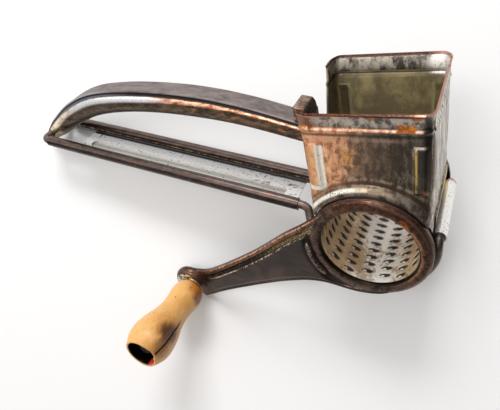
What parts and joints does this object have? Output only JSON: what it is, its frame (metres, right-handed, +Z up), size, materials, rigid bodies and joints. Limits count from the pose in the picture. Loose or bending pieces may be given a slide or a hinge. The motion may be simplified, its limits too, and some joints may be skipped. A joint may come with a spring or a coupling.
{
  "type": "rotary cabbage shredder",
  "caption": "Hand-held rotary shredder with squeeze handles, a flared tin hopper, a crank-turned toothed drum, and a turned wooden knob",
  "frame": {"origin": "centre of the bounding box's underside, on the table the grater lies on", "axes": "X runs from the handles' joined end to the hopper, Y runs away from the crank across the table, Z is up from the table"},
  "size_m": [0.2276, 0.1542, 0.1012],
  "materials": {
    "dark_wire": "dark, worn steel wire with brown rust film",
    "tinned_sheet": "worn tinned sheet, dulled grey-brown with bright rubbed edges and rust spots",
    "rivet_steel": "dull plated steel",
    "drum_tin": "bright, scratched tin with dark tooth edges",
    "stamped_steel": "darkened stamped steel, smooth, brown on the edges",
    "washer_brass": "worn brass washer",
    "knob_wood": "bare honey-coloured hardwood, stained and cracked"
  },
  "bodies": {
    "frame": {"frame_wire": "dark_wire", "lower_handle": "tinned_sheet"},
    "lever": {"upper_handle": "tinned_sheet", "presser_stem": "tinned_sheet", "presser_plate": "tinned_sheet", "presser_rivets": "rivet_steel"},
    "hopper": {"hopper_shell": "tinned_sheet"},
    "drum": {"drum_shell": "drum_tin", "front_hub": "stamped_steel", "rear_hub": "stamped_steel", "crank_arm": "stamped_steel", "knob_spindle": "rivet_steel", "boss_washer": "washer_brass"},
    "knob": {"wooden_knob": "knob_wood", "knob_washer": "rivet_steel"}
  },
  "joints": [
    {"name": "lever_hinge", "type": "hinge", "parent": "frame", "child": "lever", "pos_m": [-0.10496, 0.03955, 0.0105], "axis": [-0.2013, -0.6347, 0.7461], "range_deg": [0, 70]},
    {"name": "gate_hinge", "type": "hinge", "parent": "frame", "child": "hopper", "pos_m": [0.10654, 0.01443, 0.0462], "axis": [0.2013, 0.6347, -0.7461], "range_deg": [0, 95]},
    {"name": "drum_spin", "type": "hinge", "parent": "frame", "child": "drum", "pos_m": [0.08137, 0.0125, 0.03776], "axis": [0.2013, 0.6347, -0.7461], "continuous": true},
    {"name": "knob_spin", "type": "hinge", "parent": "drum", "child": "knob", "pos_m": [-0.01368, -0.04219, 0.00942], "axis": [0.2419, 0.5733, -0.7828], "continuous": true}
  ]
}
